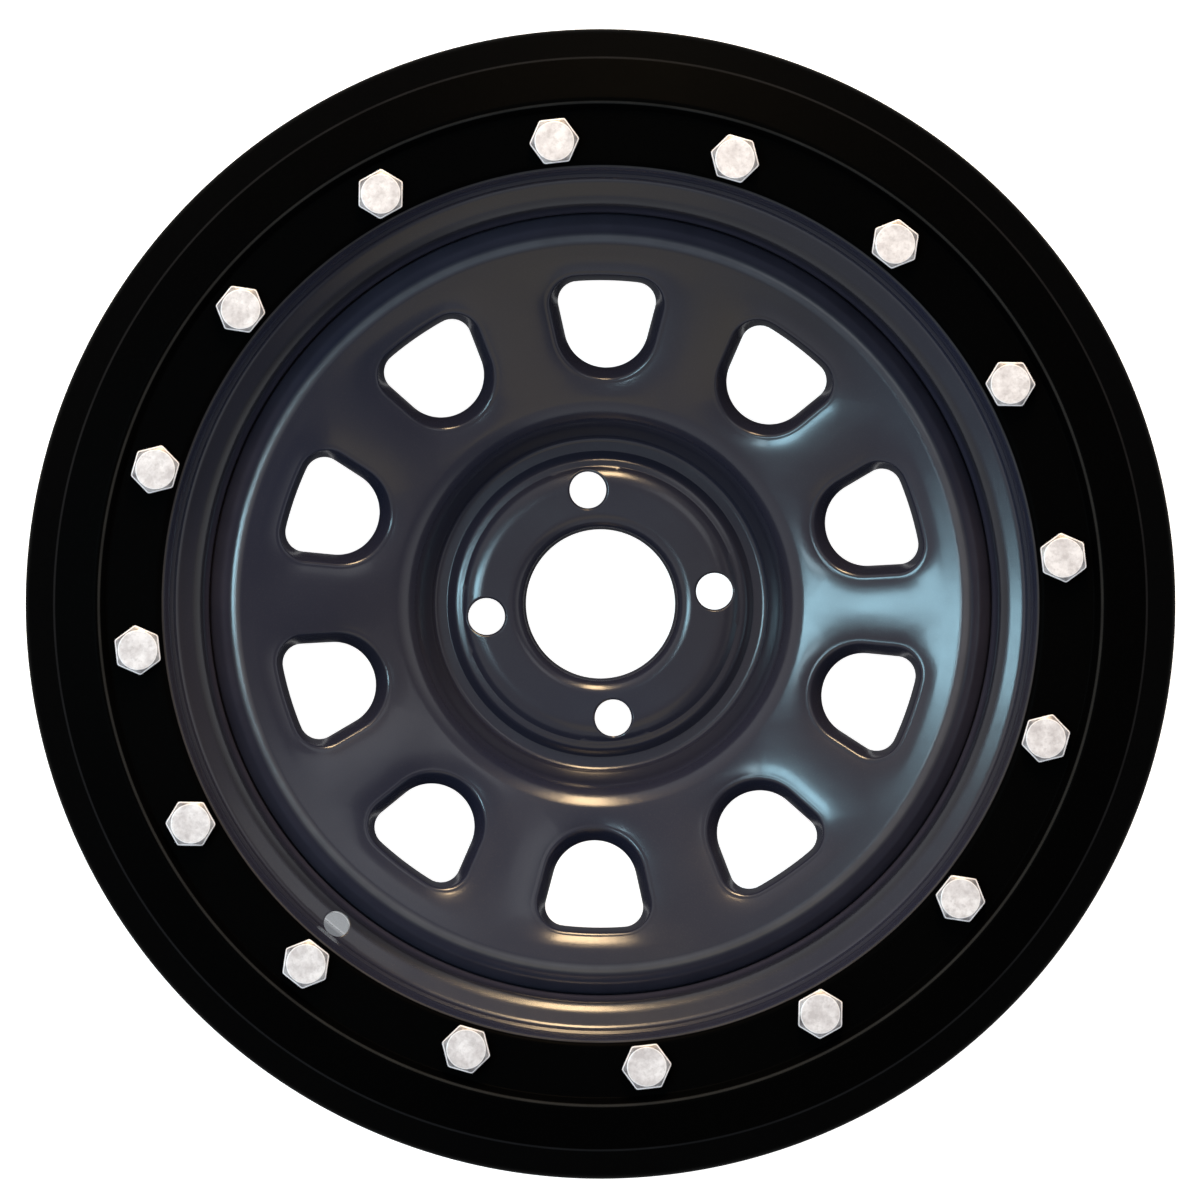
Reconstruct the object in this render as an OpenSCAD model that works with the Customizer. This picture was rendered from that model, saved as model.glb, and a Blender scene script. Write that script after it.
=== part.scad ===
// Fifteen inch pressed steel wheel with a simulated beadlock ring bolted over its front flange.
// The wheel lies on its rear flange: the axle line is +Z, the ring is on top, z = 0 is the floor.

/* [Rim] */
// Diameter of the bead seats at the flanges
seat_d = 380.2; // [374:0.1:400]
// Width between the tyre sides of the two flanges
rim_w = 177.8; // [165:0.1:203.2]
// Thickness of the rim's sheet
rim_t = 2.8; // [2.2:0.1:3.4]
// Height of a flange above its bead seat
flange_h = 17.3; // [16.6:0.1:19]
// Radius of a flange's curl on the tyre side
curl_r = 9.5; // [8.5:0.1:10]
// Straight edge left beyond the curl
lip_edge = 2.5; // [1.5:0.1:5]
// Radius between a flange and its seat on the tyre side
heel_r = 6.5; // [5:0.1:6.5]
// Width of a bead seat from its flange to its toe
seat_w = 20; // [18:0.5:24]
// Angle at which a bead seat rises towards its flange
seat_taper = 5; // [4:0.5:6]
// Height of the safety hump above the seat's toe
hump_h = 1.1; // [0.6:0.1:1.8]
// Width of the safety hump
hump_w = 8; // [7:0.5:12]
// Bend radius at the toe of a bead seat
toe_bend = 8; // [6:0.5:10]
// Bend radius over a safety hump
hump_bend = 4.5; // [4:0.1:5]
// Depth of the drop centre below the bead seats
well_depth = 17; // [15:0.1:20]
// Angle of the drop centre's front wall from the wheel's plane
well_wall_angle = 18; // [14:1:24]
// Bend radius at the foot of the drop centre's front wall
well_front_bend = 10; // [8:0.5:11]
// Bend radius at the top of the drop centre's front wall
wall_top_bend = 5.5; // [4:0.5:6]
// Bend radius at the rear of the drop centre
well_rear_bend = 14; // [8:1:20]
// Depth of the rear ledge below the bead seats
ledge_depth = 7; // [5:0.5:9]
// Length over which the rear ledge falls into the drop centre
ledge_fall = 29; // [24:1:34]
// Bend radius at either end of the rear ledge
ledge_bend = 16; // [10:1:20]

/* [Valve hole] */
// Diameter of the valve hole
valve_d = 11.5; // [8:0.1:12]
// Direction of the valve hole round the axle line
valve_angle = 230.5; // [200:0.5:260]
// Place of the valve hole on the drop centre's front wall, from 0 at its foot to 1 at the hump
valve_share = 0.55; // [0.52:0.01:0.58]

/* [Disc] */
// Thickness of the disc's plate
disc_t = 4; // [3.2:0.1:4.6]
// Distance of the hub seat in front of the rim's middle plane
wheel_offset = 8; // [0:0.5:14]
// Diameter of the centre bore
bore_d = 65; // [56:0.1:70]
// Radius of the turned-in edge of the centre bore, on its front
bore_edge_r = 7.5; // [6.5:0.1:8]
// Height of the bolt pad's front above the hub seat's front
pad_h = 6.5; // [6:0.1:8]
// Bend radius over the bolt pad's edge
pad_bend = 12; // [6:0.5:13]
// Inner radius of the hub seat, the rearmost ring of the disc
hub_seat_r = 66; // [65.5:0.1:68]
// Distance from the hub seat in to the bolt pad's edge
pad_edge_in = 11; // [10.5:0.1:12]
// Distance from the hub seat in to the narrow step round the bolt pad
pad_step_in = 3.5; // [3:0.1:4]
// Width of the narrow step between the bolt pad and the hub seat
pad_step_w = 3; // [2.6:0.1:3.2]
// Width of the hub seat
hub_seat_w = 8; // [6:0.1:9]
// Distance that the bore's turned-in edge ends short of the hub seat
bore_short = 0.5; // [0.2:0.1:1]
// Height of the bowl's wall from the hub seat to the window band
bowl_h = 26; // [20:0.5:30]
// Angle of the bowl's wall from the wheel's plane
bowl_angle = 72; // [65:1:78]
// Bend radius between the hub seat and the bowl's wall
bowl_foot_bend = 5; // [3:0.5:6]
// Bend radius between the bowl's wall and the window band
bowl_bend = 15; // [10:0.5:17]
// Angle at which the window band rises outwards
band_angle = 13.5; // [10:0.5:15]
// Width of the sloped shoulder between the window band and the seat in the rim
shoulder_w = 7; // [6.6:0.1:9]
// Angle of the shoulder from the wheel's plane
shoulder_angle = 55; // [50:1:62]
// Bend radius over the shoulder's crest
crest_bend = 7; // [5:0.5:8]
// Bend radius between the shoulder and the skirt
skirt_bend = 8; // [4:0.5:10]
// Radius of the sharpest bends in the disc, on the middle of its plate
sharp_bend = 2.6; // [2.4:0.1:2.8]
// Length of the edge that is pressed into the drop centre
skirt_h = 21; // [15:0.5:26]
// Clearance between the disc and the drop centre
press_gap = 0.15; // [0.1:0.05:0.3]

/* [Hub bolts] */
// Number of hub bolt holes
hub_bolts = 4; // [3:1:5]
// Diameter of the hub bolt circle
hub_pcd = 100; // [98:0.1:102]
// Diameter of a hub bolt hole
hub_bolt_d = 16; // [13:0.1:17]
// Width of the chamfer round a hub bolt hole
hub_bolt_chamfer = 0.8; // [0.3:0.1:1.2]
// Direction of the first hub bolt hole
hub_bolt_angle = 6.3; // [-45:0.1:45]

/* [Windows] */
// Number of windows
windows = 10; // [6:1:12]
// Radius of the windows' middle
window_mid_r = 120.5; // [119:0.1:122]
// Length of a window along the band
window_l = 38.4; // [36:0.1:40]
// Width of a window across its outer corners
window_w = 42.1; // [38:0.1:43]
// Radius of a window's round inner end
window_end_r = 18.1; // [16:0.1:19]
// Radius of a window's outer corners
window_corner_r = 8.4; // [6:0.1:10]
// Radius of a window's arched outer edge
window_arch_r = 150; // [120:5:200]
// Radius over the turned-back edge of a window, on its front
window_edge_r = 2; // [1:0.1:3]
// Depth of the turned-back edge of a window
window_lip_h = 6.5; // [6:0.1:8]
// Angle at which the turned-back edge leans in under the window
window_lip_lean = 26.5; // [15:0.5:30]
// Direction of the first window
window_angle = 88.8; // [70:0.1:110]

/* [Mounting ring] */
// Thickness of the mounting ring that is welded to the front flange
mount_t = 8; // [6:0.5:12]
// Distance that the mounting ring stands out past the flange
mount_out = 4.6; // [3:0.1:8]
// Clearance round the simulator ring's inner edge in the mounting ring
pilot_gap = 0.4; // [0.2:0.05:0.8]

/* [Simulator ring] */
// Thickness of the simulator ring's sheet
ring_t = 3; // [2:0.1:3.4]
// Distance that the ring's opening is smaller than the bead seats, on the radius
ring_inset = 0.6; // [0:0.1:2]
// Distance between the mounting ring and the step outside the bolt band
step_gap = 2.8; // [2.4:0.1:6]
// Width of the step
step_w = 3.4; // [3:0.1:5]
// Height of the step
ring_step_h = 4.8; // [3:0.1:6]
// Width of the sloped face outside the step
ring_slope_w = 17.9; // [14:0.1:24]
// Drop of the sloped face
ring_slope_h = 5.8; // [3:0.1:8]
// Width of the outer shoulder
ring_outer_w = 11.8; // [9:0.1:16]
// Drop of the outer shoulder
ring_outer_h = 9.5; // [8:0.1:12]
// Length of the turned-back inner edge
ring_inner_edge = 7; // [5.5:0.1:9]
// Length of the turned-back outer edge
ring_outer_edge = 6; // [5:0.1:12]
// Bend radius of the outer edge, on the middle of the sheet
ring_outer_bend = 4; // [3:0.1:5]

/* [Ring bolts] */
// Number of ring bolts
ring_bolt_count = 16; // [8:1:24]
// Distance from the ring's opening to the centres of the ring bolts
ring_bolt_in = 12; // [11:0.1:13]
// Thread diameter of a ring bolt
bolt_d = 12; // [8:1:14]
// Width across the flats of a bolt head
bolt_flats = 19; // [17:0.5:21]
// Height of a bolt head
bolt_head_h = 7.5; // [5:0.1:9]
// Share of a bolt head's width that its flat round top takes
head_top_share = 0.89; // [0.8:0.01:0.96]
// Chamfer on the end of a bolt's thread
bolt_point = 1.2; // [0.4:0.1:1.6]
// Height of the round bearing face under a bolt head
bolt_washer_h = 0.6; // [0.3:0.1:1]
// Clearance round a bolt in the simulator ring
bolt_clearance = 0.5; // [0.3:0.1:1]
// Clearance round a bolt in its threaded hole
thread_gap = 0.15; // [0.1:0.05:0.3]
// Distance from a bolt's end to the mounting ring's rear face
bolt_short = 0.6; // [0.3:0.1:3]
// Direction of the first ring bolt
ring_bolt_angle = 95.7; // [80:0.1:110]
// Turn of the first bolt head's corners from +X
bolt_head_turn = -6.5; // [-30:0.1:30]

/* [Welds] */
// Leg of the weld between the disc and the rim
disc_weld = 4; // [3:0.1:5]
// Number of weld runs between the disc and the rim
disc_weld_runs = 8; // [4:1:12]
// Share of the circle that those runs cover
disc_weld_share = 0.6; // [0.3:0.05:0.8]
// Leg of the weld between the mounting ring and the flange
mount_weld = 2.8; // [2:0.1:3]
// Number of weld runs on the mounting ring
mount_weld_runs = 16; // [8:1:20]
// Share of the circle that those runs cover
mount_weld_share = 0.5; // [0.3:0.05:0.8]
// Flat left on the rim behind the disc's weld
weld_room = 4; // [2:0.5:6]
// Clearance left between a weld and the pieces it joins
weld_gap = 0.1; // [0.05:0.05:0.2]

/* [Hidden] */
$fn = 96;

// Angle turned by one facet of a bend
bend_step = 10;
// How far a cutting shape runs past the face that it cuts
over = 2;
// How far a flare starts above the face that it cuts
flare_over = 0.1;
// Least bend that a sheet takes without creasing, measured from the sheet's inside
crease = 0.2;
// Depth of the narrow step round the bolt pad, and its slant, as shares of the pad's height
pad_step_depth = 0.44;
pad_step_slant = 0.06;
// Round bearing face under a bolt head, as a share of the head's width
washer_share = 0.95;

// Rim, measured on the middle of its sheet
flange_out_r = seat_d / 2 + flange_h;
lip_r = flange_out_r - rim_t / 2;
flange_reach = lip_edge + curl_r;
seat_r = seat_d / 2 - rim_t / 2;
toe_r = seat_r - seat_w * tan(seat_taper);
hump_r = toe_r + hump_h;
well_r = seat_r - well_depth;
well_inside_r = well_r - rim_t / 2;
ledge_r = seat_r - ledge_depth;
rear_flange_z = flange_reach;
front_flange_z = rear_flange_z + rim_w;
rim_front_z = front_flange_z + flange_reach;
well_wall_top_z = front_flange_z - seat_w - hump_w;
well_wall_low_z = well_wall_top_z - (hump_r - well_r) * tan(well_wall_angle);

// Disc, measured on the middle of its plate
hub_seat_z = rear_flange_z + rim_w / 2 + wheel_offset;
seat_mid_z = hub_seat_z + disc_t / 2;
pad_mid_z = seat_mid_z + pad_h;
bore_r = bore_d / 2;
bore_mid_r = bore_r + disc_t / 2;
bore_end_z = hub_seat_z + bore_short;
pad_step_z = pad_mid_z - pad_h * pad_step_depth;
pad_step_fall = pad_h * pad_step_slant;
pad_step_r = hub_seat_r - pad_step_in - pad_step_w;
pad_r = hub_seat_r - pad_edge_in;
bowl_r = hub_seat_r + hub_seat_w;
band_start_r = bowl_r + bowl_h / tan(bowl_angle);
band_start_z = seat_mid_z + bowl_h;
skirt_r = well_inside_r - press_gap - disc_t / 2;
crest_r = skirt_r - shoulder_w;
crest_z = band_start_z + (crest_r - band_start_r) * tan(band_angle);
skirt_top_z = crest_z - shoulder_w * tan(shoulder_angle);
skirt_end_z = skirt_top_z - skirt_h;
window_mid_z = band_start_z + (window_mid_r - band_start_r) * tan(band_angle)
    + disc_t / 2 / cos(band_angle);
well_rear_z = skirt_end_z - disc_weld - weld_room;

// Rings and bolts
mount_front_z = rim_front_z + mount_t;
ring_front_z = mount_front_z + ring_t;
ring_inner_r = seat_d / 2 - ring_inset;
ring_bolt_r = ring_inner_r + ring_bolt_in;
mount_inner_r = ring_inner_r + ring_t + pilot_gap;
mount_outer_r = flange_out_r + mount_out;

// Joints a list of points into a rounded line: each point is [radius, height, bend radius]
function unit(v) = v / norm(v);
function flat2(p) = [p[0], p[1]];
function left_of(v) = unit([-v[1], v[0]]);
function rounded_corner(a, b, c, bend) =
    let (
        u = unit(a - b),
        v = unit(c - b),
        turn = 180 - acos(u * v),
        reach = bend * tan(turn / 2),
        centre = b + unit(u + v) * bend / cos(turn / 2),
        steps = ceil(turn / bend_step)
    )
    [for (i = [0 : steps])
        let (s = i / steps)
        centre + ((b + u * reach - centre) * sin((1 - s) * turn)
            + (b + v * reach - centre) * sin(s * turn)) / sin(turn)];
function bent_line(path) =
    let (last = len(path) - 1)
    [for (i = [0 : last])
        each i == 0 || i == last
            ? [flat2(path[i])]
            : rounded_corner(flat2(path[i - 1]), flat2(path[i]), flat2(path[i + 1]), path[i][2])];

// One side of a sheet, at distance d from its middle line
function sheet_side(line, d) =
    let (last = len(line) - 1)
    [for (i = [0 : last])
        let (
            before = line[max(i, 1)] - line[max(i, 1) - 1],
            after = line[min(i, last - 1) + 1] - line[min(i, last - 1)],
            n = unit(left_of(before) + left_of(after))
        )
        line[i] + n * d / (n * left_of(before))];
function reversed(list) = [for (i = [len(list) - 1 : -1 : 0]) list[i]];

// A round sheet part: the bent line is given a thickness and turned round the axle line
module pressed_sheet(path, thickness) {
    line = bent_line(path);
    rotate_extrude()
        polygon(concat(
            sheet_side(line, thickness / 2),
            reversed(sheet_side(line, -thickness / 2))));
}

module around(count, first) {
    for (i = [0 : count - 1])
        rotate([0, 0, first + i * 360 / count])
            children();
}

/* Rim: one rolled strip, from the rear flange's edge to the front flange's edge */
rim_path = [
    [lip_r, 0],
    [lip_r, rear_flange_z - rim_t / 2, curl_r - rim_t / 2],
    [seat_r, rear_flange_z - rim_t / 2, heel_r + rim_t / 2],
    [toe_r, rear_flange_z + seat_w, toe_bend],
    [hump_r, rear_flange_z + seat_w + hump_w / 2, hump_bend],
    [ledge_r, rear_flange_z + seat_w + 2 * hump_w, ledge_bend],
    [ledge_r, well_rear_z - ledge_fall, ledge_bend],
    [well_r, well_rear_z, well_rear_bend],
    [well_r, well_wall_low_z, well_front_bend],
    [hump_r, well_wall_top_z, wall_top_bend],
    [toe_r, front_flange_z - seat_w, toe_bend],
    [seat_r, front_flange_z + rim_t / 2, heel_r + rim_t / 2],
    [lip_r, front_flange_z + rim_t / 2, curl_r - rim_t / 2],
    [lip_r, rim_front_z]
];

// The valve hole goes square through the middle of the drop centre's front wall
valve_r = well_r + (hump_r - well_r) * valve_share;
valve_z = well_wall_low_z + (well_wall_top_z - well_wall_low_z) * valve_share;

module rim_barrel() {
    color("#24242a")
    difference() {
        pressed_sheet(rim_path, rim_t);
        rotate([0, 0, valve_angle])
            translate([valve_r, 0, valve_z])
                rotate([0, -well_wall_angle, 0])
                    cylinder(d = valve_d, h = rim_t + 2 * over, center = true);
    }
}

/* Disc: bore, raised bolt pad, hub seat, bowl, window band, shoulder and skirt */
disc_path = [
    [bore_mid_r, bore_end_z],
    [bore_mid_r, pad_mid_z, bore_edge_r - disc_t / 2],
    [pad_r, pad_mid_z, pad_bend],
    [pad_step_r, pad_step_z, sharp_bend],
    [pad_step_r + pad_step_w, pad_step_z - pad_step_fall, sharp_bend],
    [hub_seat_r, seat_mid_z, sharp_bend],
    [bowl_r, seat_mid_z, bowl_foot_bend],
    [band_start_r, band_start_z, bowl_bend],
    [crest_r, crest_z, crest_bend],
    [skirt_r, skirt_top_z, skirt_bend],
    [skirt_r, skirt_end_z]
];

// Outline of a window grown by g: round corners, an arched outer edge and a round inner end
arch_steps = 6;
corner_x = window_w / 2 - window_corner_r;
arch_y = window_l / 2 - window_arch_r;
corner_y = arch_y + sqrt(pow(window_arch_r - window_corner_r, 2) - corner_x * corner_x);
end_y = window_end_r - window_l / 2;
corner_turn = atan2(corner_y - arch_y, corner_x);
arch_turn = (180 - 2 * corner_turn) / arch_steps;
side_turn = atan2(corner_y - end_y, corner_x)
    - acos((window_end_r - window_corner_r) / norm([corner_x, corner_y - end_y]));
function arc(x, y, r, from, to, steps) =
    [for (i = [0 : steps])
        let (a = from + (to - from) * i / steps)
        [x + r * cos(a), y + r * sin(a)]];
function window_outline(g) = concat(
    arc(corner_x, corner_y, window_corner_r + g, side_turn, corner_turn, 6),
    arc(0, arch_y, window_arch_r + g,
        corner_turn + arch_turn, 180 - corner_turn - arch_turn, arch_steps - 2),
    arc(-corner_x, corner_y, window_corner_r + g, 180 - corner_turn, 180 - side_turn, 6),
    arc(0, end_y, window_end_r + g, 180 - side_turn, 360 + side_turn, 10));

// Height of the cone-shaped band above its flat tangent plane
function band_rise(p) = p[0] * p[0] * sin(band_angle) / (2 * (window_mid_r + p[1] * cos(band_angle)));

// Block between outlines of a window: each ring is [growth of the outline, height over the band's front]
module window_block(rings) {
    sides = len(window_outline(0));
    count = len(rings);
    points = [for (k = [0 : count - 1])
        for (p = window_outline(rings[k][0]))
            [p[0], p[1], rings[k][1] + band_rise(p)]];
    walls = [for (k = [0 : count - 2])
        for (i = [0 : sides - 1])
            let (j = (i + 1) % sides)
            each [
                [k * sides + i, (k + 1) * sides + j, k * sides + j],
                [k * sides + i, (k + 1) * sides + i, (k + 1) * sides + j]
            ]];
    floor_face = [[for (i = [0 : sides - 1]) i]];
    top_face = [[for (i = [sides - 1 : -1 : 0]) (count - 1) * sides + i]];
    polyhedron(points, concat(walls, floor_face, top_face));
}

// Cutter of one window: upright below the lip, leaning along it, then flared over the edge radius
edge_steps = 4;
edge_centre = window_edge_r * cos(window_lip_lean)
    + (window_lip_h - window_edge_r * (1 - sin(window_lip_lean))) * tan(window_lip_lean);
flare = concat(
    [[0, -window_lip_h - over], [0, -window_lip_h]],
    [for (i = [0 : edge_steps])
        let (a = window_lip_lean + (90 - window_lip_lean) * i / edge_steps)
        [edge_centre - window_edge_r * cos(a),
            -window_edge_r * (1 - sin(a)) + (i == edge_steps ? flare_over : 0)]],
    [[edge_centre, over]]);

module window_cutter() {
    window_block(flare);
}

// Turned-back collar of one window, from its rear edge into the plate
collar_w = disc_t / cos(window_lip_lean);
module window_collar() {
    window_block([
        [collar_w, -window_lip_h],
        [collar_w + (window_lip_h - disc_t / 2) * tan(window_lip_lean), -disc_t / 2]
    ]);
}

module at_window() {
    rotate([0, 0, -90])
        translate([0, window_mid_r, window_mid_z])
            rotate([band_angle, 0, 0])
                children();
}

module wheel_disc() {
    color("#1d1d22")
    difference() {
        union() {
            pressed_sheet(disc_path, disc_t);
            around(windows, window_angle) at_window() window_collar();
        }
        around(windows, window_angle) at_window() window_cutter();
        around(hub_bolts, hub_bolt_angle)
            translate([hub_pcd / 2, 0, 0]) {
                translate([0, 0, hub_seat_z])
                    cylinder(d = hub_bolt_d, h = pad_h + disc_t + over);
                translate([0, 0, pad_mid_z + disc_t / 2 - hub_bolt_chamfer])
                    cylinder(d1 = hub_bolt_d, d2 = hub_bolt_d + 2 * (hub_bolt_chamfer + over),
                        h = hub_bolt_chamfer + over);
            }
    }
}

// A weld's face bulges a little past the straight line between its two toes
weld_low = 0.42;
weld_high = 0.7;

module weld_runs(count, share, profile) {
    run = 360 / count * share;
    around(count, -run / 2)
        rotate_extrude(angle = run)
            polygon(profile);
}

module disc_welds() {
    corner = [well_inside_r - weld_gap, skirt_end_z - weld_gap];
    color("#2b2b30")
        weld_runs(disc_weld_runs, disc_weld_share, [
            corner,
            corner - disc_weld * [0, 1],
            corner - disc_weld * [weld_low, weld_high],
            corner - disc_weld * [weld_high, weld_low],
            corner - disc_weld * [1, 0]
        ]);
}

/* Mounting ring: a flat ring on the front flange's edge, with the bolts' threaded holes */
module mounting_ring() {
    color("#303034")
    difference() {
        translate([0, 0, rim_front_z])
            cylinder(r = mount_outer_r, h = mount_t);
        translate([0, 0, rim_front_z - over])
            cylinder(r = mount_inner_r, h = mount_t + 2 * over);
        around(ring_bolt_count, ring_bolt_angle)
            translate([ring_bolt_r, 0, rim_front_z - over])
                cylinder(r = bolt_d / 2 + thread_gap, h = mount_t + 2 * over);
    }
}

module mounting_ring_welds() {
    corner = [flange_out_r - rim_t - weld_gap, rim_front_z - weld_gap];
    color("#2b2b30")
        weld_runs(mount_weld_runs, mount_weld_share, [
            corner,
            corner - mount_weld * [0, 1],
            corner - mount_weld * [weld_low, weld_high],
            corner - mount_weld * [weld_high, weld_low],
            corner - mount_weld * [1, 0]
        ]);
}

/* Simulator ring: turned-back inner edge, bolt band, step, slope, shoulder and outer edge */
ring_mid_z = ring_front_z - ring_t / 2;
ring_edge_r = ring_inner_r + ring_t / 2;
tight_bend = ring_t / 2 + crease;
soft_bend = ring_t / 2 + 1;
step_r = mount_outer_r + step_gap;
slope_r = step_r + step_w;
slope_z = ring_mid_z + ring_step_h;
outer_shoulder_r = slope_r + ring_slope_w;
outer_shoulder_z = slope_z - ring_slope_h;
outer_edge_r = outer_shoulder_r + ring_outer_w;
outer_edge_z = outer_shoulder_z - ring_outer_h;
ring_path = [
    [ring_edge_r, ring_front_z - ring_inner_edge],
    [ring_edge_r, ring_mid_z, tight_bend],
    [step_r, ring_mid_z, soft_bend],
    [slope_r, slope_z, tight_bend],
    [outer_shoulder_r, outer_shoulder_z, soft_bend],
    [outer_edge_r, outer_edge_z, ring_outer_bend],
    [outer_edge_r, outer_edge_z - ring_outer_edge]
];

module simulator_ring() {
    color("#0c0c0d")
    difference() {
        pressed_sheet(ring_path, ring_t);
        around(ring_bolt_count, ring_bolt_angle)
            translate([ring_bolt_r, 0, mount_front_z - over])
                cylinder(r = bolt_d / 2 + bolt_clearance, h = ring_t + 2 * over);
    }
}

/* Ring bolts: hexagon heads on the simulator ring, threads in the mounting ring */
head_top_r = bolt_flats / 2 * head_top_share;
head_washer_r = bolt_flats / 2 * washer_share;
head_corner_r = bolt_flats / 2 / cos(30);
head_side_z = bolt_head_h - (head_corner_r + over - head_top_r) * tan(30);
shank_h = ring_t + mount_t - bolt_short;

module ring_bolt() {
    intersection() {
        translate([0, 0, bolt_washer_h])
            cylinder(r = head_corner_r, h = bolt_head_h - bolt_washer_h, $fn = 6);
        rotate_extrude()
            polygon([
                [0, 0],
                [head_corner_r + over, 0],
                [head_corner_r + over, head_side_z],
                [head_top_r, bolt_head_h],
                [0, bolt_head_h]
            ]);
    }
    rotate_extrude()
        polygon([
            [0, -shank_h],
            [bolt_d / 2 - bolt_point, -shank_h],
            [bolt_d / 2, bolt_point - shank_h],
            [bolt_d / 2, 0],
            [head_washer_r, 0],
            [head_washer_r, 2 * bolt_washer_h],
            [0, 2 * bolt_washer_h]
        ]);
}

module ring_bolts() {
    color("#d9dadb")
        for (i = [0 : ring_bolt_count - 1])
            rotate([0, 0, ring_bolt_angle - i * 360 / ring_bolt_count])
                translate([ring_bolt_r, 0, ring_front_z])
                    rotate([0, 0, bolt_head_turn - ring_bolt_angle + 2 * i * 360 / ring_bolt_count])
                        ring_bolt();
}

rim_barrel();
wheel_disc();
disc_welds();
mounting_ring();
mounting_ring_welds();
simulator_ring();
ring_bolts();
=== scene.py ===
"""Pressed steel wheel with a bolted-on ring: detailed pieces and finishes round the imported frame.

Sizes are in millimetres until a mesh is made, and every piece lies where the frame says.
"""
import math

import bmesh
import bpy
import numpy as np
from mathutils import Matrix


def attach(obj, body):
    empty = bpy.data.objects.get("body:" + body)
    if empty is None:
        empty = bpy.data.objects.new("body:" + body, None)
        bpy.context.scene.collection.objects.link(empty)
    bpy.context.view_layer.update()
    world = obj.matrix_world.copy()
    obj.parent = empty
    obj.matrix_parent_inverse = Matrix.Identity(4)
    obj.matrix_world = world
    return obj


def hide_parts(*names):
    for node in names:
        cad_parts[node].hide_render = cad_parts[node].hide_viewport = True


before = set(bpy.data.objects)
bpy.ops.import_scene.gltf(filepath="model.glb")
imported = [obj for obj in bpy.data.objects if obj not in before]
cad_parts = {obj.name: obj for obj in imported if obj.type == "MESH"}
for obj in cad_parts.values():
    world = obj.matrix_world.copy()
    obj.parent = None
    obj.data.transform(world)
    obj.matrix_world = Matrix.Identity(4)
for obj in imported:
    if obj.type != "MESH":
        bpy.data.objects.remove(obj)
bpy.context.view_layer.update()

MM = 0.001

# ---- Sizes of the part, as in its source, with angles in degrees. Four differ from the solids:
# PRESS_GAP is 0.15 there, which keeps the solids apart, WINDOW_EDGE_R 2, WINDOW_LIP_LEAN 26.5,
# and BOLT_TURN -6.5, which is the wrong way round.
# Rim
SEAT_D, RIM_W, RIM_T = 380.2, 177.8, 2.8
FLANGE_H, CURL_R, LIP_EDGE, HEEL_R = 17.3, 9.5, 2.5, 6.5
SEAT_W, SEAT_TAPER, HUMP_H, HUMP_W = 20.0, 5.0, 1.1, 8.0
TOE_BEND, HUMP_BEND, WALL_TOP_BEND = 8.0, 4.5, 5.5
WELL_DEPTH, WELL_WALL, WELL_FRONT_BEND, WELL_REAR_BEND = 17.0, 18.0, 10.0, 14.0
LEDGE_DEPTH, LEDGE_FALL, LEDGE_BEND = 7.0, 29.0, 16.0
VALVE_D, VALVE_ANGLE, VALVE_SHARE = 11.5, 230.5, 0.55
# Disc
DISC_T, WHEEL_OFFSET, BORE_D, BORE_EDGE_R, BORE_SHORT = 4.0, 8.0, 65.0, 7.5, 0.5
PAD_H, PAD_EDGE_IN, PAD_BEND, PAD_STEP_IN, PAD_STEP_W = 6.5, 11.0, 12.0, 3.5, 3.0
PAD_STEP_DEPTH, PAD_STEP_SLANT = 0.44, 0.06
HUB_SEAT_R, HUB_SEAT_W = 66.0, 8.0
BOWL_H, BOWL_ANGLE, BOWL_FOOT_BEND, BOWL_BEND, BAND_ANGLE = 26.0, 72.0, 5.0, 15.0, 13.5
SHOULDER_W, SHOULDER_ANGLE, CREST_BEND = 7.0, 55.0, 7.0
SKIRT_BEND, SHARP_BEND, SKIRT_H = 8.0, 2.6, 21.0
PRESS_GAP = -0.02
HUB_PCD, HUB_BOLT_D, HUB_BOLT_ANGLE, HUB_BOLTS, HUB_CHAMFER = 100.0, 16.0, 6.3, 4, 0.8
WINDOWS, WINDOW_MID_R, WINDOW_L, WINDOW_W, WINDOW_ANGLE = 10, 120.5, 38.4, 42.1, 88.8
WINDOW_END_R, WINDOW_CORNER_R, WINDOW_ARCH_R = 18.1, 8.4, 150.0
WINDOW_EDGE_R, WINDOW_LIP_H, WINDOW_LIP_LEAN = 2.2, 6.5, 33.0
# Mounting ring and simulator ring
MOUNT_T, MOUNT_OUT, PILOT_GAP = 8.0, 4.6, 0.4
RING_T, RING_INSET, STEP_GAP, STEP_W, RING_STEP_H = 3.0, 0.6, 2.8, 3.4, 4.8
RING_SLOPE_W, RING_SLOPE_H, RING_OUTER_W, RING_OUTER_H = 17.9, 5.8, 11.8, 9.5
RING_INNER_EDGE, RING_OUTER_EDGE, RING_OUTER_BEND = 7.0, 6.0, 4.0
RING_TIGHT_BEND, RING_SOFT_BEND = RING_T / 2 + 0.2, RING_T / 2 + 1
# Ring bolts
BOLTS, BOLT_IN, BOLT_D, BOLT_FLATS, BOLT_HEAD_H = 16, 12.0, 12.0, 19.0, 7.5
BOLT_ANGLE, BOLT_TURN, THREAD_GAP, SHANK_GAP = 95.7, 6.5, 0.15, 0.5
BOLT_SHORT, BOLT_END_CHAMFER, BOLT_FILLET = 0.6, 1.2, 0.3
# Weld runs: leg, number, share of the circle and length of a ripple
DISC_WELD, DISC_WELDS, DISC_WELD_SHARE, DISC_RIPPLE = 4.0, 8, 0.6, 2.4
MOUNT_WELD, MOUNT_WELDS, MOUNT_WELD_SHARE, MOUNT_RIPPLE = 2.8, 16, 0.5, 1.9
WELD_ROOM, WELD_GAP = 4.0, 0.1


def tan(degrees):
    return math.tan(math.radians(degrees))


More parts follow.
